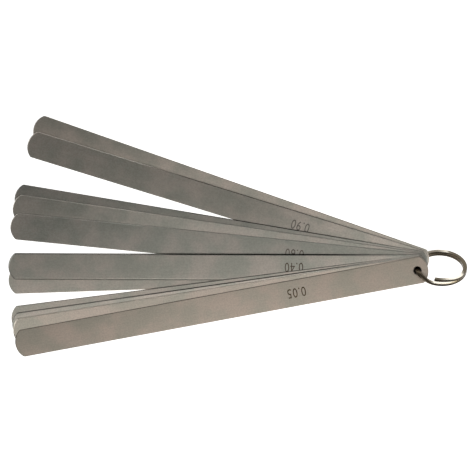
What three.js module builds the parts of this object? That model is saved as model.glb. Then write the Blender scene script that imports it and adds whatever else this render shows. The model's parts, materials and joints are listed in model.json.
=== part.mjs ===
// A feeler gauge set: thirteen straight steel leaves of graded thickness, threaded through their
// end holes on a small split ring and fanned out. Millimetres, +Z up, tips towards -X, ring at +X.
//
// The tool is laid out flat first, with the ring's centre as origin and every leaf level. The last
// step tips that layout by two small angles, so that it rests as a real one does on a bench: on the
// lowest point of its ring and on the tips of its leaves.

import * as THREE from 'three';

// Leaves
const LEAF_LENGTH = 200;
const LEAF_WIDTH = 12.7;
const LEAF_END_RADIUS = 8; // one arc of this radius rounds each end, and leaves a corner at each edge
const HOLE_DIAMETER = 4;
const HOLE_TO_END = 5.2; // from the hole's centre to the leaf's ring end
const LEAF_GAP = 0.05; // air between one leaf and the next
const STACK_TOP = 2.65; // top face of the thinnest leaf, above the ring's centre

// The set, from the top of the stack down: thickness, and the angle that the leaf is swung
// from -X towards +Y
const LEAVES = [
  { thickness: 0.05, fan: -10.4 },
  { thickness: 0.10, fan: -10.5 },
  { thickness: 0.15, fan: -8.8 },
  { thickness: 0.20, fan: -8.9 },
  { thickness: 0.25, fan: -8.1 },
  { thickness: 0.30, fan: -7.2 },
  { thickness: 0.40, fan: 0.25 },
  { thickness: 0.50, fan: -1.9 },
  { thickness: 0.60, fan: 5.7 },
  { thickness: 0.70, fan: 8.2 },
  { thickness: 0.80, fan: 9.5 },
  { thickness: 0.90, fan: 17.1 },
  { thickness: 1.00, fan: 19.3 },
];

// Split ring: a flat spring wire coiled nearly twice round
const RING_OUTER_DIAMETER = 25.2;
const WIRE_WIDTH = 2.0; // across the ring, in its plane
const WIRE_THICKNESS = 1.15; // along the ring's axis
const WIRE_CORNER = 0.3;
const TURN_GAP = 0.1; // air between the two turns where they lie on each other
const RING_TILT = 52; // the ring's plane against the leaves, about X: its -Y side is raised
const RING_RADIUS = (RING_OUTER_DIAMETER - WIRE_WIDTH) / 2;
const HALF_TURN = 180;

// Angles round the wire, in degrees, from its hidden end. The wire runs clockwise, seen from above.
const WIRE_START = 144; // where the hidden end lies, counterclockwise from +X
const WIRE_SWEEP = 612;
const STEP_UP = { from: 252, to: 304 }; // the wire climbs from the lower turn to the upper one
const LIFT = { from: 534, to: 594, height: 1.3 }; // its free end stands off the turn below

// How the tool lies: these turns bring the lowest points of the ring and tips level
const REST_ROLL = 3.13; // about X
const REST_PITCH = -2.78; // about Y

const LEAF_ARC_SEGMENTS = 12;
const WIRE_STEPS = 136;
const HALVINGS = 40; // of the search for the point where the wire passes a height
const WIRE_CORNER_SEGMENTS = 1;

const radians = THREE.MathUtils.degToRad;

function leafOutline() {
  const ringEnd = HOLE_TO_END;
  const tip = HOLE_TO_END - LEAF_LENGTH;
  const halfArc = Math.asin(LEAF_WIDTH / 2 / LEAF_END_RADIUS);
  const outline = new THREE.Shape();
  outline.absarc(ringEnd - LEAF_END_RADIUS, 0, LEAF_END_RADIUS, -halfArc, halfArc);
  outline.absarc(tip + LEAF_END_RADIUS, 0, LEAF_END_RADIUS, Math.PI - halfArc, Math.PI + halfArc);
  outline.closePath();
  const hole = new THREE.Path();
  hole.absarc(0, 0, HOLE_DIAMETER / 2, 0, 2 * Math.PI, true);
  outline.holes.push(hole);
  return outline;
}

// The wire's section: x runs along the ring's axis and y across the wire
function wireSection() {
  const x = WIRE_THICKNESS / 2;
  const y = WIRE_WIDTH / 2;
  const r = WIRE_CORNER;
  const section = new THREE.Shape();
  section.absarc(x - r, y - r, r, 0, Math.PI / 2);
  section.absarc(r - x, y - r, r, Math.PI / 2, Math.PI);
  section.absarc(r - x, r - y, r, Math.PI, Math.PI * 1.5);
  section.absarc(x - r, r - y, r, Math.PI * 1.5, Math.PI * 2);
  section.closePath();
  return section;
}

// The wire's centre line, in the ring's own plane, with +Z on the side of its free end
class WireLine extends THREE.Curve {
  getPoint(t, target = new THREE.Vector3()) {
    const turned = t * WIRE_SWEEP;
    const angle = radians(WIRE_START - turned);
    const climb = THREE.MathUtils.smoothstep(turned, STEP_UP.from, STEP_UP.to);
    const lift = THREE.MathUtils.smoothstep(turned, LIFT.from, LIFT.to);
    const height = (climb - 0.5) * (WIRE_THICKNESS + TURN_GAP) + lift * LIFT.height;
    return target.set(RING_RADIUS * Math.cos(angle), RING_RADIUS * Math.sin(angle), height);
  }
}

// The point where the wire passes a given height on its way down through the stack
function wireAtHeight(height) {
  const wire = new WireLine();
  const tilt = new THREE.Euler(radians(-RING_TILT), 0, 0);
  let above = STEP_UP.from / WIRE_SWEEP;
  let below = (STEP_UP.from + HALF_TURN) / WIRE_SWEEP;
  const point = new THREE.Vector3();
  for (let halving = 0; halving < HALVINGS; halving += 1) {
    const between = (above + below) / 2;
    wire.getPoint(between, point).applyEuler(tilt);
    if (point.z > height) {
      above = between;
    } else {
      below = between;
    }
  }
  return point;
}

function makeLeaf({ thickness, fan }, top, index) {
  const geometry = new THREE.ExtrudeGeometry(leafOutline(), {
    depth: thickness,
    bevelEnabled: false,
    curveSegments: LEAF_ARC_SEGMENTS,
  });
  const grey = new THREE.Color(0x8c867c).lerp(new THREE.Color(0x5f5c55), index / LEAVES.length);
  const steel = new THREE.MeshStandardMaterial({ color: grey, metalness: 1, roughness: 0.38 });
  const leaf = new THREE.Mesh(geometry, steel);
  leaf.name = `leaf_${thickness.toFixed(2).replace('.', '_')}mm`;
  const hole = wireAtHeight(top - thickness / 2);
  leaf.position.set(hole.x, hole.y, top - thickness);
  leaf.rotation.z = radians(-fan);
  return leaf;
}

function makeSplitRing() {
  const geometry = new THREE.ExtrudeGeometry(wireSection(), {
    steps: WIRE_STEPS,
    extrudePath: new WireLine(),
    curveSegments: WIRE_CORNER_SEGMENTS,
  });
  const nickel = new THREE.MeshStandardMaterial({ color: 0xa8a293, metalness: 1, roughness: 0.22 });
  const ring = new THREE.Mesh(geometry, nickel);
  ring.name = 'split_ring';
  ring.rotation.x = radians(-RING_TILT);
  return ring;
}

const flat = new THREE.Group();
flat.add(makeSplitRing());
let top = STACK_TOP;
LEAVES.forEach((size, index) => {
  flat.add(makeLeaf(size, top, index));
  top -= size.thickness + LEAF_GAP;
});
flat.rotation.set(radians(REST_ROLL), radians(REST_PITCH), 0);

// The origin is under the middle of the whole tool, on the surface that it lies on
const gauge = new THREE.Group();
gauge.add(flat);
const box = new THREE.Box3().setFromObject(gauge, true);
const middle = box.getCenter(new THREE.Vector3());
flat.position.set(-middle.x, -middle.y, -box.min.z);
gauge.updateMatrixWorld(true);

export default gauge;
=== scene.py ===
# %% [markdown]
# # A feeler gauge, leaf by leaf
# A feeler gauge measures narrow gaps. This one is thirteen long strips of spring steel, from 0.05
# mm to 1.00 mm thick, strung on a split ring and fanned out on a white bench. The packed model
# brings the places, sizes and hinges. This notebook makes the fine surfaces round them: ground
# steel leaves with worn rims, the sizes etched on them, and the springy ring. Lengths are in
# metres, so sizes in millimetres are multiplied by `MM`.

# %% Load the frame
import json
import math
import bmesh
import bpy
from mathutils import Matrix, Vector


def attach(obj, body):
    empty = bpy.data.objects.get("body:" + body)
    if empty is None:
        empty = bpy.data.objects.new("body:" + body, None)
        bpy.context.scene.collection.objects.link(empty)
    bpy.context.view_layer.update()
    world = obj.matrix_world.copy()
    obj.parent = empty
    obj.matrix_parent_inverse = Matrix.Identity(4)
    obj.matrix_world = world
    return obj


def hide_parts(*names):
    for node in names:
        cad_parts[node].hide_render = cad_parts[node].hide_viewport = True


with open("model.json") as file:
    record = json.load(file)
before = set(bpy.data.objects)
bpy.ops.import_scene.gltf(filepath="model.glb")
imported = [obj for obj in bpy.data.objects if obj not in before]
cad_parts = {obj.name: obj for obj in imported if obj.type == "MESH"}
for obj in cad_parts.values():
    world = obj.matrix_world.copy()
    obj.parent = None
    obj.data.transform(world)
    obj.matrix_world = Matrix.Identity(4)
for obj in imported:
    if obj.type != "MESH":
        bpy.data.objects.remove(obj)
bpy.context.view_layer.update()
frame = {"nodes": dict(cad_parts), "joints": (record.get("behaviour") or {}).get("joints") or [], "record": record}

MM = 0.001
nodes = frame["nodes"]
hinges = {joint["child"]: joint for joint in frame["joints"]}
print("hinges:", len(hinges))

# %% [markdown]
# ## Where everything lies
# The leaves are parallel, so one direction, square to all of them, serves as "up" for the whole
# tool. It leans a few degrees from the bench's vertical, because the ring props one end. Every leaf
# turns about a hinge along that direction, so it can be read off any hinge. The two directions in
# the leaves' plane follow from it. Measuring them is safer than typing angles: if the packed model
# changes, the fine pieces follow it.

# %% The tool's own directions
up = Vector(frame["joints"][0]["axis"]).normalized()
across = up.cross(Vector((1, 0, 0))).normalized()
along = across.cross(up)
print("the leaves lean", round(math.degrees(up.angle(Vector((0, 0, 1)))), 2), "degrees")


def turned_to(x_axis, y_axis, z_axis):
    """The turn that takes X, Y and Z to three directions square to each other."""
    return Matrix((x_axis, y_axis, z_axis)).transposed().to_4x4()


def placed(origin, x_direction):
    """The matrix that takes a piece made flat at the origin to its place in the tool."""
    x_axis = (x_direction - up * x_direction.dot(up)).normalized()
    return Matrix.Translation(origin) @ turned_to(x_axis, up.cross(x_axis), up)


# %% [markdown]
# ## The camera
# The tool is seen straight on, square to its leaves, so that every leaf keeps its true outline. A
# long lens keeps the ring, which stands up towards the camera, from looking too large. The camera
# is aimed near the middle of the fan, and its distance is worked out from the width that has to fit
# in the frame: the same triangle holds inside the camera, between lens and sensor.

# %% Camera
VIEW_WIDTH = 224.4 * MM
LENS, SENSOR = 200, 36
AIM_SHIFT = (-1.33 * MM, 0.42 * MM, 0)  # from the fan's middle: along, across and up

aim = Vector()
for direction, shift in zip((along, across, up), AIM_SHIFT):
    reach = [vertex.co.dot(direction) for node in nodes.values() for vertex in node.data.vertices]
    aim += direction * ((min(reach) + max(reach)) / 2 + shift)
distance = VIEW_WIDTH * LENS / SENSOR

camera_data = bpy.data.cameras.new("camera")
camera_data.lens, camera_data.sensor_width = LENS, SENSOR
camera = bpy.data.objects.new("camera", camera_data)
bpy.context.scene.collection.objects.link(camera)
camera.matrix_world = Matrix.Translation(aim + up * distance) @ turned_to(along, across, up)
bpy.context.scene.camera = camera
print("camera", round(distance, 3), "m from the leaves")

# %% [markdown]
# ## Writing finishes as sums
# A finish is a network of nodes. Clicked together or written node by node it is long, and hard to
# read back, so two small classes do the wiring. `Signal` stands for one output: adding or
# multiplying signals adds the Math nodes, so `1 - worn` is a finish in the making. `Finish` holds a
# material, and its `node` method adds any other kind of node.

# %% Signal
class Signal:
    """One output of a node, which can be added, taken away, multiplied, or made positive."""

    def __init__(self, finish, socket):
        self.finish, self.socket = finish, socket

    def maths(self, operation, *values):
        return self.finish.node("ShaderNodeMath", {"operation": operation}, dict(enumerate(values)))

    def __add__(self, other):
        return self.maths("ADD", self, other)

    def __sub__(self, other):
        return self.maths("SUBTRACT", self, other)

    def __rsub__(self, other):
        return self.maths("SUBTRACT", other, self)

    def __mul__(self, other):
        return self.maths("MULTIPLY", self, other)

    def __abs__(self):
        return self.maths("ABSOLUTE", self)

    __radd__ = __add__
    __rmul__ = __mul__


print("a signal knows",
      [name.strip("_") for name, value in vars(Signal).items() if callable(value)])


# %% Finish
class Finish:
    """A material being built up from nodes."""

    def __init__(self, name):
        self.material = bpy.data.materials.new(name)
        self.material.use_nodes = True
        self.tree = self.material.node_tree
        self.shader = self.tree.nodes["Principled BSDF"]

    def node(self, kind, settings=None, sockets=None, output=0):
        """Any node: its type, its settings, then the values or signals of its sockets."""
        made = self.tree.nodes.new(kind)
        for name, value in (settings or {}).items():
            setattr(made, name, value)
        for key, value in (sockets or {}).items():
            self.feed(made.inputs[key], value)
        return Signal(self, made.outputs[output])

    def feed(self, socket, value):
        if isinstance(value, Signal):
            self.tree.links.new(value.socket, socket)
        else:
            socket.default_value = value

    def surface(self, **sockets):
        """Feed the shader, and hand over the finished material."""
        for name, value in sockets.items():
            self.feed(self.shader.inputs[name.replace("_", " ")], value)
        return self.material


# %% [markdown]
# ## Tools for patterns
# Every finish here is made from the same few moves. Noise gives clouds, speckle and scratches, all
# from one node at different scales. `between` turns any number into a soft step from one level to
# another, which is how a worn patch or a change of tone fades in. `blend` mixes two colours, and
# colours never go through Math nodes, which would turn them grey.

# %% Patterns
NOISE_RANGE = (0.3, 0.7)  # nearly all of the noise lies between these


class PatternFinish(Finish):
    """A finish that knows the patterns that steel, wire and paper are made from."""

    def place(self, attribute):
        kind = {"attribute_name": attribute}
        return self.node("ShaderNodeAttribute", kind, output="Vector")

    def parts(self, place):
        """The X, Y and Z of a place, as three signals."""
        return [self.node("ShaderNodeSeparateXYZ", {}, {0: place}, axis) for axis in range(3)]

    def vector_maths(self, operation, first, second, output="Vector"):
        settings = {"operation": operation}
        return self.node("ShaderNodeVectorMath", settings, {0: first, 1: second}, output)

    def noise(self, place, scale, detail, roughness=0.5):
        sockets = {"Vector": place, "Scale": scale, "Detail": detail, "Roughness": roughness}
        return self.node("ShaderNodeTexNoise", {}, sockets)

    def between(self, value, low, high, out_low=0.0, out_high=1.0):
        sockets = {"Value": value, "From Min": low, "From Max": high,
                   "To Min": out_low, "To Max": out_high}
        return self.node("ShaderNodeMapRange", {"interpolation_type": "SMOOTHSTEP"}, sockets)

    def blend(self, share, first, second, how="MIX"):
        settings = {"data_type": "RGBA", "blend_type": how}
        return self.node("ShaderNodeMix", settings, {"Factor": share, 6: first, 7: second}, 2)

    def bump(self, height, strength, depth):
        sockets = {"Strength": strength, "Distance": depth, "Height": height}
        return self.node("ShaderNodeBump", {}, sockets)


print("patterns:", [name for name in vars(PatternFinish) if not name.startswith("_")])

# %% [markdown]
# ## Ground spring steel
# Feeler leaf is rolled and ground to within a few microns, and leaves the works with a satin grey
# face. One flat grey would look like plastic, so four things break it up: faint lines left by the
# grinding, which run with the leaf; a fine speckle; cloudy patches where oil and fingers have
# dulled it; and a slow change of tone from tip to middle to ring, different on each leaf, partly
# the steel's own and partly painted reflection of the room and the lights. The pattern has to
# follow the leaf wherever it points, so it reads an attribute, `leaf_place`, that holds each
# point's place on the flat leaf: the hole is the origin, and the tip lies towards -X.

# %% Tones along a leaf
LEAF_LENGTH, LEAF_WIDTH = 200 * MM, 12.7 * MM
HOLE_TO_END = 5.2 * MM
TIP = HOLE_TO_END - LEAF_LENGTH
MIDDLE = TIP / 2
GREY, BROWN = (1.0, 0.98, 0.905), (1.12, 0.98, 0.85)
OILY_PATCH, CLEAN_PATCH = (0.91, 0.955, 0.935, 1.0), (1.07, 1.03, 1.02, 1.0)


def steel_tone(shade, brown):
    """A grey of one lightness, with a share of brown in it."""
    return tuple(shade * (g + (b - g) * brown) for g, b in zip(GREY, BROWN)) + (1.0,)


# The face's tone along the leaf is partly the steel's own and partly painted reflection.
def face_tone(finish, drifting, cloud, shades, brown):
    tip, middle, ring = [steel_tone(shade, brown) for shade in shades]
    outer_half = finish.blend(finish.between(drifting, TIP, MIDDLE), tip, middle)
    steel = finish.blend(finish.between(drifting, MIDDLE, 0.0), outer_half, ring)
    patches = finish.blend(finish.between(cloud, 0.35, 0.65), OILY_PATCH, CLEAN_PATCH)
    return finish.blend(1.0, steel, patches, how="MULTIPLY")


print("hole to tip, mm:", round(-TIP / MM, 1))

# %% [markdown]
# ## Worn rims
# The flat faces of a leaf stop a little short of its edge. A stone has broken the sharp corner
# there, and years of sliding into gaps have worn it, so a narrow slope runs all the way round. Its
# tone is painted light and shade: on some leaves a painted highlight near the tip, on others a
# painted shadow further up, the shade of the gap beside the leaf. The edge on the far side has
# this most. The near edge, and the last stretch before the ring, keep a plain rim, painted a
# little darker than the face.

# %% Tone of a rim
PLAIN_RIM = 0.8  # painted shade: a plain rim is this dark against the face's own tone
RIM_CHANGE = (TIP * 0.76, TIP * 0.56)
NEAR_RING = (-45 * MM, -8 * MM)
DEEPEST_RIM = 0.11 * MM


def rim_drop(thickness):
    """How far a leaf's rim falls away from its flat faces."""
    return min(thickness * 0.3, DEEPEST_RIM)


# Painted highlight and painted shadow on the far rim, fading to the plain painted rim near the ring.
def rim_tone(finish, drifting, lengthwise, sideways, rims):
    far_edge = finish.between(sideways, -1 * MM, 1 * MM)
    rim_light_and_shade = finish.between(drifting, *RIM_CHANGE, *rims)
    rim = PLAIN_RIM + (rim_light_and_shade - PLAIN_RIM) * far_edge
    return rim + (PLAIN_RIM - rim) * finish.between(lengthwise, *NEAR_RING)


print("rim drop of the thinnest and thickest leaf, mm:",
      [round(rim_drop(thickness * MM) / MM, 3) for thickness in (0.05, 1.0)])

# %% Steel finish
DRIFT = 40 * MM  # how far the clouds push a change of tone along the leaf
GRIND_SCALE = (70.0, 2600.0, 70.0)  # long streaks: coarse along the leaf, fine across it
CLOUDS, SPECKLE, GRAIN = 75.0, 1400.0, 2600.0  # about so many to the metre
PAINTED_SIDE_SHADE = 0.05 / (LEAF_WIDTH / 2)  # painted shade: a face is a little lighter towards its near edge, darker towards its far one


def leaf_steel(name, shades, brown, rims, thickness, pattern):
    finish = PatternFinish(name)
    place = finish.place("leaf_place")
    shifted = finish.vector_maths("ADD", place, (0.0, pattern, 0.0))
    lengthwise, sideways, through = finish.parts(place)
    cloud = finish.noise(shifted, CLOUDS, detail=4.0)
    speckle = finish.noise(shifted, SPECKLE, detail=2.0)
    grain = finish.noise(shifted, GRAIN, detail=1.0)
    streaks = finish.vector_maths("MULTIPLY", shifted, GRIND_SCALE)
    grind = finish.noise(streaks, 1.0, detail=3.0, roughness=0.6)

    drifting = lengthwise + (cloud - 0.5) * DRIFT
    face = face_tone(finish, drifting, cloud, shades, brown)
    rim = rim_tone(finish, drifting, lengthwise, sideways, rims)
    slope_start = thickness / 2 - rim_drop(thickness) * 0.6
    flat = finish.between(abs(through), slope_start, thickness / 2)
    lines = finish.between(grind, *NOISE_RANGE, 0.965, 1.03)
    specks = finish.between(speckle, *NOISE_RANGE, 0.93, 1.07)
    # Painted light and shade: the face darkens towards its far edge, and the rim takes its painted tone.
    light = lines * specks * (1 - sideways * PAINTED_SIDE_SHADE) * (flat + rim * (1 - flat))
    tone = finish.node("ShaderNodeVectorMath", {"operation": "SCALE"}, {0: face, "Scale": light})
    rough = finish.between(cloud, *NOISE_RANGE, 0.37, 0.43) + (grind - 0.5) * 0.08
    relief = finish.bump(grind * 0.7 + grain * 0.3, strength=0.25, depth=0.004 * MM)
    return finish.surface(Base_Color=tone, Metallic=1.0, Roughness=rough, Normal=relief)


print("grinding lines, mm apart:", round(1 / GRIND_SCALE[1] / MM, 2))

# %% [markdown]
# ## The etched sizes
# Each leaf's thickness is etched near the ring, so that it can be read with the ring in the left
# hand. Etching leaves a matt, brownish-black film with ragged density. On some leaves it is weaker
# than on others, so its tone fades towards that of the steel.

# %% Etch finish
DARK_FILM, LIGHT_FILM = (0.07, 0.048, 0.028), (0.15, 0.11, 0.07)
STEEL_UNDER_FILM = 0.30
RAGGEDNESS = 1500.0  # about so many patches to the metre


def film_tone(film, strength):
    return tuple(STEEL_UNDER_FILM + (tone - STEEL_UNDER_FILM) * strength for tone in film) + (1.0,)


def etch(name, strength):
    finish = PatternFinish(name)
    place = finish.node("ShaderNodeTexCoord", {}, output="Object")
    ragged = finish.noise(place, RAGGEDNESS, detail=3.0)
    dark, light = film_tone(DARK_FILM, strength), film_tone(LIGHT_FILM, strength)
    tone = finish.blend(finish.between(ragged, *NOISE_RANGE), dark, light)
    rough = finish.between(ragged, *NOISE_RANGE, 0.45, 0.6)
    return finish.surface(Base_Color=tone, Metallic=1.0, Roughness=rough)


print("etched film, darkest and lightest:", DARK_FILM, LIGHT_FILM)

# %% [markdown]
# ## A leaf
# A leaf is a flat strip whose two ends are single arcs, with one hole punched near the ring end. A
# stretched box would have neither the arcs nor the hole, so the leaf is drawn as an outline: a
# vertex spun about each end's centre gives the arcs, two straight edges join them, and a circle
# gives the hole. The four corners where arc meets side are rounded a little. Filling between the
# loops gives one flat face, ready to be made thick.

# %% Leaf outline
END_RADIUS = 8 * MM
HOLE_RADIUS = 2 * MM
CORNER_ROUND = 0.7 * MM
HALF_ARC = math.asin(LEAF_WIDTH / 2 / END_RADIUS)


def spun_arc(shape, centre_x, start):
    """A chain of edges round (centre_x, 0), and its first and last vertex."""
    centre = Vector((centre_x, 0, 0))
    first = shape.verts.new(centre + END_RADIUS * Vector((math.cos(start), math.sin(start), 0)))
    spin = bmesh.ops.spin(shape, geom=[first], cent=centre, axis=(0, 0, 1),
                          angle=2 * HALF_ARC, steps=40)
    last = next(part for part in spin["geom_last"] if isinstance(part, bmesh.types.BMVert))
    return first, last


def leaf_outline():
    shape = bmesh.new()
    ring_first, ring_last = spun_arc(shape, HOLE_TO_END - END_RADIUS, -HALF_ARC)
    tip_first, tip_last = spun_arc(shape, TIP + END_RADIUS, math.pi - HALF_ARC)
    shape.edges.new((ring_last, tip_first))
    shape.edges.new((tip_last, ring_first))
    corners = [ring_first, ring_last, tip_first, tip_last]
    bmesh.ops.bevel(shape, geom=corners, offset=CORNER_ROUND, segments=5, profile=0.5,
                    affect="VERTICES", material=-1)
    bmesh.ops.create_circle(shape, cap_ends=False, radius=HOLE_RADIUS, segments=64)
    bmesh.ops.triangle_fill(shape, edges=shape.edges[:], use_beauty=True, normal=(0, 0, 1))
    return shape


print("an end arc turns through", round(math.degrees(2 * HALF_ARC), 1), "degrees")

# %% [markdown]
# ## Making it thick
# Extruding the face gives the strip its thickness. The rims could be bevelled, but on a leaf a
# twentieth of a millimetre thick a bevel is far wider than it is high, and its two sides would
# cross. So the strip is extruded a little too thin, and then both faces are inset and pushed out at
# once: what lies between the old edge and the new one is the worn slope.

# %% Leaf shape
def pushed_up(shape, height):
    """Turn every face into a block of the given height."""
    raised = bmesh.ops.extrude_face_region(shape, geom=shape.faces[:])
    lifted = [part for part in raised["geom"] if isinstance(part, bmesh.types.BMVert)]
    bmesh.ops.translate(shape, verts=lifted, vec=(0, 0, height))


def leaf_shape(thickness, rim_width):
    shape = leaf_outline()
    drop = rim_drop(thickness)
    pushed_up(shape, thickness - 2 * drop)
    bmesh.ops.translate(shape, verts=shape.verts[:], vec=(0, 0, drop - thickness / 2))
    bmesh.ops.recalc_face_normals(shape, faces=shape.faces[:])
    flats = [face for face in shape.faces if abs(face.normal.z) > 0.9]
    bmesh.ops.inset_region(shape, faces=flats, thickness=rim_width, depth=drop,
                           use_boundary=True, use_even_offset=True)
    for face in shape.faces:
        face.smooth = abs(face.normal.z) < 0.999
    return shape


def finished_piece(name, shape, matrix, material, place=None):
    """A bmesh made flat at the origin becomes an object in its place in the tool."""
    mesh = bpy.data.meshes.new(name)
    shape.to_mesh(mesh)
    shape.free()
    if place:
        spots = mesh.attributes.new(place, "FLOAT_VECTOR", "POINT")
        for vertex, spot in zip(mesh.vertices, spots.data):
            spot.vector = vertex.co
    mesh.transform(matrix)
    mesh.materials.append(material)
    piece = bpy.data.objects.new(name, mesh)
    bpy.context.scene.collection.objects.link(piece)
    return piece


# %% [markdown]
# ## The marks
# The sizes are set in a plain narrow letter 4.5 mm high. Letters could be a bump in the steel's
# finish, but a film of their own keeps their edges sharp. A text object is turned to a mesh,
# brought to size, given a hair of thickness, and laid on the leaf's upper face, turned to be read
# with the ring on the left.

# %% Mark shape
MARK_FROM_HOLE = 58.5 * MM
MARK_SIZE = (8.8 * MM, 4.5 * MM)
MARK_FILM = 0.004 * MM
LETTER_SPACING = 1.12


def letters(words):
    """The words as a flat mesh."""
    text = bpy.data.curves.new("mark", "FONT")
    text.body, text.space_character = words, LETTER_SPACING
    text.align_x, text.align_y = "CENTER", "CENTER"
    written = bpy.data.objects.new("mark", text)
    flat = bpy.data.meshes.new_from_object(written)
    shape = bmesh.new()
    shape.from_mesh(flat)
    bpy.data.objects.remove(written)
    bpy.data.meshes.remove(flat)
    bmesh.ops.remove_doubles(shape, verts=shape.verts[:], dist=1e-5)
    return shape


def mark_shape(words):
    shape = letters(words)
    reach = [[vertex.co[axis] for vertex in shape.verts] for axis in (0, 1)]
    centre = [(min(values) + max(values)) / 2 for values in reach]
    growth = [size / (max(values) - min(values)) for size, values in zip(MARK_SIZE, reach)]
    bmesh.ops.translate(shape, verts=shape.verts[:], vec=(-centre[0], -centre[1], 0))
    bmesh.ops.scale(shape, verts=shape.verts[:], vec=(*growth, 1))
    pushed_up(shape, MARK_FILM)
    bmesh.ops.recalc_face_normals(shape, faces=shape.faces[:])
    return shape


print("a mark is", [round(size / MM, 1) for size in MARK_SIZE], "mm")

# %% [markdown]
# ## Thirteen leaves
# Each leaf takes its place from its hinge, and its direction from the middle of its CAD solid. No
# two leaves have the same steel or the same painted light, so a table gives what sets each apart:
# the lightness of its face at the tip, the middle and the ring, partly the steel's own tone and
# partly painted reflection; its share of brown; the tone of its rim towards the tip and towards
# the ring, above 1 a painted highlight and below 1 a painted shadow; the rim's width in
# millimetres; how strongly its mark is etched; and where it lies in the pattern of clouds, so
# that no two leaves have the same patches.

# %% The leaves' own looks
# Face lightness: partly the steel's own tone, partly painted reflection. Rim tones: painted highlight above 1,
# painted shadow below 1.
LEAF_LOOKS = {
    "leaf_0_05": ((0.44, 0.54, 0.47), 0.9, (0.45, 0.30), 0.40, 1.0, 5.137),
    "leaf_0_10": ((0.55, 0.55, 0.60), 0.5, (1.00, 1.00), 0.36, 0.7, 0.31),
    "leaf_0_15": ((0.72, 0.66, 0.73), 0.7, (1.40, 1.40), 0.36, 0.7, 16.031),
    "leaf_0_20": ((0.60, 0.60, 0.65), 0.5, (1.20, 1.20), 0.36, 0.7, 0.93),
    "leaf_0_25": ((0.71, 0.76, 0.86), 0.3, (0.40, 0.10), 0.60, 0.7, 16.651),
    "leaf_0_30": ((0.64, 0.59, 0.70), 0.3, (0.60, 0.30), 0.40, 0.7, 11.824),
    "leaf_0_40": ((0.40, 0.49, 0.60), 0.2, (0.85, 0.01), 0.85, 0.8, 22.408),
    "leaf_0_50": ((0.53, 0.53, 0.49), 0.3, (0.60, 0.60), 0.36, 0.7, 17.581),
    "leaf_0_60": ((0.31, 0.45, 0.47), 0.1, (2.10, 1.00), 0.36, 0.6, 43.576),
    "leaf_0_70": ((0.32, 0.56, 0.56), 0.2, (2.20, 1.00), 0.36, 0.7, 7.927),
    "leaf_0_80": ((0.28, 0.38, 0.58), 0.1, (0.90, 0.12), 0.45, 0.7, 8.237),
    "leaf_0_90": ((0.31, 0.38, 0.64), 0.3, (2.60, 0.30), 0.40, 0.50, 8.547),
    "leaf_1_00": ((0.38, 0.59, 0.68), 0.5, (0.60, 0.60), 0.36, 0.7, 19.131),
}
print("darkest tip:", min(LEAF_LOOKS, key=lambda body: LEAF_LOOKS[body][0][0]))

# %% Make the leaves
HALF_TURN = Matrix.Rotation(math.pi, 4, "Z")

for body, hinge in sorted(hinges.items()):
    node = frame["record"]["behaviour"]["bodies"][body][0]
    size = body.removeprefix("leaf_").replace("_", ".")
    thickness = float(size) * MM
    hole = Vector(hinge["pos_m"])
    corners = [vertex.co for vertex in nodes[node].data.vertices]
    matrix = placed(hole, hole - sum(corners, Vector()) / len(corners))
    shades, brown, rims, rim_width, strength, pattern = LEAF_LOOKS[body]
    steel = leaf_steel(body + "_steel", shades, brown, rims, thickness, pattern)
    shape = leaf_shape(thickness, rim_width * MM)
    leaf = finished_piece(body + "_ground", shape, matrix, steel, place="leaf_place")
    on_face = matrix @ Matrix.Translation((-MARK_FROM_HOLE, 0, thickness / 2)) @ HALF_TURN
    etched = etch(body + "_etched", strength)
    mark = finished_piece(body + "_mark", mark_shape(size), on_face, etched)
    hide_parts(node)
    for piece in (leaf, mark):
        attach(piece, body)
    print(node, "at", [round(value / MM, 1) for value in hole], "faces", len(leaf.data.polygons))

# %% [markdown]
# ## Nickelled wire
# The ring is plated spring wire, bright as a mirror, and shows the white paper. Dark reflections
# are painted into its colour, where the wire would mirror dark surroundings: the finish blends
# the bright metal with a painted dark brown one. The painted dark covers the inner and outer
# walls, two opposite sides of the ring, and the free end. The back of the ring is painted only a
# little darker. The attribute `ring_place` tells these parts from each other: it holds each
# point's place in the ring's own plane.

# %% Wire finish
DARK_SIDE_ANGLE = math.radians(20)  # the direction of the two opposite sides painted dark
# The dark brown is painted reflection: it stands where the bright wire would mirror dark surroundings.
BRIGHT_NICKEL, PAINTED_DARK_NICKEL = (0.86, 0.81, 0.70, 1.0), (0.085, 0.068, 0.045, 1.0)
MOST_PAINTED_DARK, BACK_PAINTED_DARK = 0.97, 0.22  # shares of the wire painted dark, as painted reflection
WIRE_CLOUDS, SCUFFS = 260.0, 2200.0  # about so many to the metre


def unpainted_share(finish, place, cloud, radius, width):
    """How much of the wire keeps its bright tone, not painted dark: 1 is all of it, 0 is none."""
    rightward, backward, height = finish.parts(place)
    in_plane = finish.vector_maths("MULTIPLY", place, (1.0, 1.0, 0.0))
    length = {"operation": "LENGTH"}
    out = finish.node("ShaderNodeVectorMath", length, {0: in_plane}, output="Value")
    # Painted dark reflection on the walls, two opposite sides, the free end, and a little at the back.
    walls = finish.between(abs(out - radius), width * 0.40, width * 0.5)
    side_axis = (math.cos(DARK_SIDE_ANGLE), math.sin(DARK_SIDE_ANGLE), 0.0)
    along_side_axis = abs(finish.vector_maths("DOT_PRODUCT", place, side_axis, output="Value"))
    painted_sides = finish.between(along_side_axis + (cloud - 0.5) * (4 * MM), radius * 0.55, radius * 0.80)
    lifted = finish.between(height, 0.9 * MM, 1.3 * MM)
    free_end = lifted * finish.between(rightward, 5 * MM, -2 * MM)
    back = finish.between(backward, radius * 0.4, radius * 0.9)
    unpainted_by_sides_and_end = (1 - painted_sides * MOST_PAINTED_DARK) * (1 - free_end * MOST_PAINTED_DARK)
    return (1 - walls) * unpainted_by_sides_and_end * (1 - back * BACK_PAINTED_DARK)


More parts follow.
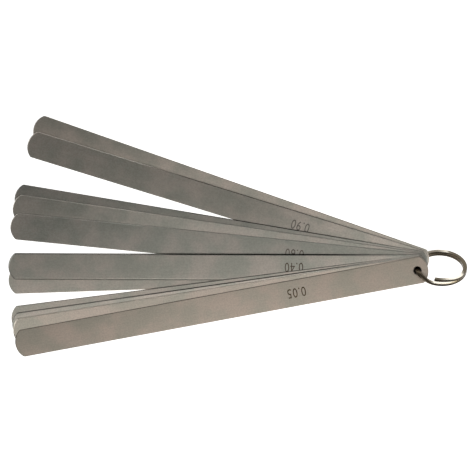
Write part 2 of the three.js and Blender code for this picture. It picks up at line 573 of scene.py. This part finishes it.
def nickel(radius, width):
    finish = PatternFinish("nickel_wire")
    place = finish.place("ring_place")
    cloud = finish.noise(place, WIRE_CLOUDS, detail=3.0)
    scuff = finish.noise(place, SCUFFS, detail=2.0)
    bright = unpainted_share(finish, place, cloud, radius, width)
    tone = finish.blend(1 - bright, BRIGHT_NICKEL, PAINTED_DARK_NICKEL)
    rough = finish.between(cloud, *NOISE_RANGE, 0.14, 0.24) + (scuff - 0.5) * 0.1
    relief = finish.bump(scuff, strength=0.2, depth=0.01 * MM)
    return finish.surface(Base_Color=tone, Metallic=1.0, Roughness=rough, Normal=relief)


# The printed angle is the direction of the sides painted dark.
print("held along", round(math.degrees(DARK_SIDE_ANGLE)), "degrees from the ring's X")

# %% [markdown]
# ## The split ring
# The ring is one flat spring wire wound nearly twice round. Its two turns lie on each other, except
# where the leaves hang: there the wire climbs from the lower turn to the upper one. The free end
# stands off a little, as it does once many leaves have been forced on. Two stacked tori would have
# no climb and no ends. Instead, the wire's section, a rectangle with rounded corners, is spun a few
# degrees at a time, each step with its own small rise, which is how a spring coiler would feed it.

# %% How the wire climbs
WIRE_WIDTH, WIRE_THICKNESS, TURN_GAP = 2.0 * MM, 1.15 * MM, 0.1 * MM
WIRE_START, WIRE_SWEEP, WIRE_STEP = 144, 612, 3  # degrees
CLIMB = (252, 304, WIRE_THICKNESS + TURN_GAP)  # from, to, and how far up
LIFT = (534, 594, 1.3 * MM)


def eased(turned, start, end, rise):
    share = min(max((turned - start) / (end - start), 0), 1)
    return rise * share * share * (3 - 2 * share)


def wire_height(turned):
    """How high the wire lies after so many degrees, from half way between its turns."""
    return eased(turned, *CLIMB) + eased(turned, *LIFT) - (WIRE_THICKNESS + TURN_GAP) / 2


print("the free end stands", round(wire_height(WIRE_SWEEP) / MM, 2), "mm up")

# %% Ring shape
WIRE_ROUND = 0.26 * MM
END_ROUND = 0.12 * MM
SHARP = 1.2  # radians between two faces, found only round the wire's ends


def wire_section(radius):
    """The edges of the wire's section, standing where the wire begins."""
    shape = bmesh.new()
    bmesh.ops.create_grid(shape, x_segments=1, y_segments=1, size=0.5)
    bmesh.ops.scale(shape, verts=shape.verts[:], vec=(WIRE_WIDTH, WIRE_THICKNESS, 1))
    bmesh.ops.bevel(shape, geom=shape.verts[:], offset=WIRE_ROUND, segments=5, profile=0.5,
                    affect="VERTICES", material=-1)
    stand = Matrix.Rotation(math.pi / 2, 3, "X")
    to_start = Matrix.Rotation(math.radians(WIRE_START), 3, "Z")
    bmesh.ops.rotate(shape, verts=shape.verts[:], cent=(0, 0, 0), matrix=stand)
    bmesh.ops.translate(shape, verts=shape.verts[:], vec=(radius, 0, wire_height(0)))
    bmesh.ops.rotate(shape, verts=shape.verts[:], cent=(0, 0, 0), matrix=to_start)
    return shape


def ring_shape(radius):
    shape = wire_section(radius)
    front = shape.edges[:]
    for turned in range(0, WIRE_SWEEP, WIRE_STEP):
        rise = wire_height(turned + WIRE_STEP) - wire_height(turned)
        spin = bmesh.ops.spin(shape, geom=front, cent=(0, 0, 0), axis=(0, 0, -1),
                              dvec=(0, 0, rise), angle=math.radians(WIRE_STEP), steps=1)
        front = [part for part in spin["geom_last"] if isinstance(part, bmesh.types.BMEdge)]
    bmesh.ops.contextual_create(shape, geom=front)
    bmesh.ops.recalc_face_normals(shape, faces=shape.faces[:])
    ends = [edge for edge in shape.edges if edge.calc_face_angle(0) > SHARP]
    bmesh.ops.bevel(shape, geom=ends, offset=END_ROUND, segments=2, profile=0.5,
                    affect="EDGES", material=-1)
    for face in shape.faces:
        face.smooth = True
    return shape


# %% [markdown]
# ## Placing the ring
# The ring stands at an angle to the leaves, its near side raised. Its CAD solid gives the rest: the
# middle of its reach across and along is its centre, its width gives its radius, and its lowest
# face tells where the lower turn lies.

# %% Make the ring
RING_TILT = math.radians(52)

ring_axis = Matrix.Rotation(-RING_TILT, 3, along) @ up
ring_directions = (along, ring_axis.cross(along), ring_axis)
wire_points = [vertex.co for vertex in nodes["split_ring"].data.vertices]
lowest, highest = [[pick(point.dot(direction) for point in wire_points)
                    for direction in ring_directions] for pick in (min, max)]
ring_radius = (highest[0] - lowest[0] - WIRE_WIDTH) / 2
ring_middle = [(low + high) / 2 for low, high in zip(lowest, highest)]
ring_middle[2] = lowest[2] + WIRE_THICKNESS + TURN_GAP / 2
ring_centre = sum((axis * value for axis, value in zip(ring_directions, ring_middle)), Vector())
ring_matrix = Matrix.Translation(ring_centre) @ turned_to(*ring_directions)

wire = nickel(ring_radius, WIRE_WIDTH)
shape = ring_shape(ring_radius)
ring = finished_piece("split_ring_wire", shape, ring_matrix, wire, place="ring_place")
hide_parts("split_ring")
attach(ring, "ring")
print("ring radius, mm:", round(ring_radius / MM, 2), "faces:", len(ring.data.polygons))

# %% [markdown]
# ## The bench
# The tool lies on plain white paper. Lights alone would leave it grey in places, with shadows under
# the raised ring, so the paper also glows a little, as it does on a light table. It lies a hair
# below the tool, so that nothing sinks into it.

# %% Bench
PAPER_DARK, PAPER_LIGHT = (0.90, 0.90, 0.90, 1.0), (0.94, 0.94, 0.94, 1.0)
PAPER_DEPTH = 0.02 * MM
FIBRES = 900.0  # about so many to the metre


def paper():
    finish = PatternFinish("white_paper")
    place = finish.node("ShaderNodeTexCoord", {}, output="Object")
    fibre = finish.noise(place, FIBRES, detail=2.0)
    tone = finish.blend(fibre, PAPER_DARK, PAPER_LIGHT)
    return finish.surface(Base_Color=tone, Roughness=0.9, Emission_Color=tone,
                          Emission_Strength=0.95)


bench_shape = bmesh.new()
bmesh.ops.create_grid(bench_shape, x_segments=1, y_segments=1, size=1.5)
bench = finished_piece("bench", bench_shape, Matrix.Translation((0, 0, -PAPER_DEPTH)), paper())
print("bench, m:", [round(side, 2) for side in bench.dimensions])

# %% [markdown]
# ## The light
# Steel shows what it faces. These leaves face straight up, so what hangs over them sets their tone:
# a dim room, and one large pale panel above and to the near side. Two softboxes at the sides light
# the rims and the marks, and a small one at the back lights the ring's far side. All of them are
# plain rectangles, because a hard lamp would leave hot spots on the wire.

# %% Lights
world = bpy.data.worlds.new("room")
world.use_nodes = True
room = world.node_tree.nodes["Background"].inputs
room["Color"].default_value = (1.0, 0.99, 0.97, 1.0)
room["Strength"].default_value = 0.18
bpy.context.scene.world = world
bpy.context.scene.view_settings.view_transform = "Standard"


def softbox(name, place, size, power, colour=(1, 1, 1)):
    """A rectangular light that faces the tool."""
    data = bpy.data.lights.new(name, "AREA")
    data.shape, data.size, data.size_y = "RECTANGLE", *size
    data.energy, data.color = power, colour
    light = bpy.data.objects.new(name, data)
    facing = (-Vector(place)).to_track_quat("-Z", "Y").to_matrix().to_4x4()
    light.matrix_world = Matrix.Translation(place) @ facing
    bpy.context.scene.collection.objects.link(light)
    print(name, power, "W,", round(Vector(place).length, 2), "m away")


softbox("left_softbox", (-1.15, 0.25, 0.75), (0.7, 0.9), 3.5)
softbox("right_softbox", (1.15, -0.25, 0.75), (0.7, 0.9), 3.5)
softbox("far_softbox", (0.05, 0.85, 0.80), (0.4, 0.4), 0.8)
softbox("pale_panel", (0.15, -0.45, 1.0), (1.2, 0.62), 2.75, (1.0, 0.965, 0.91))

# %% [markdown]
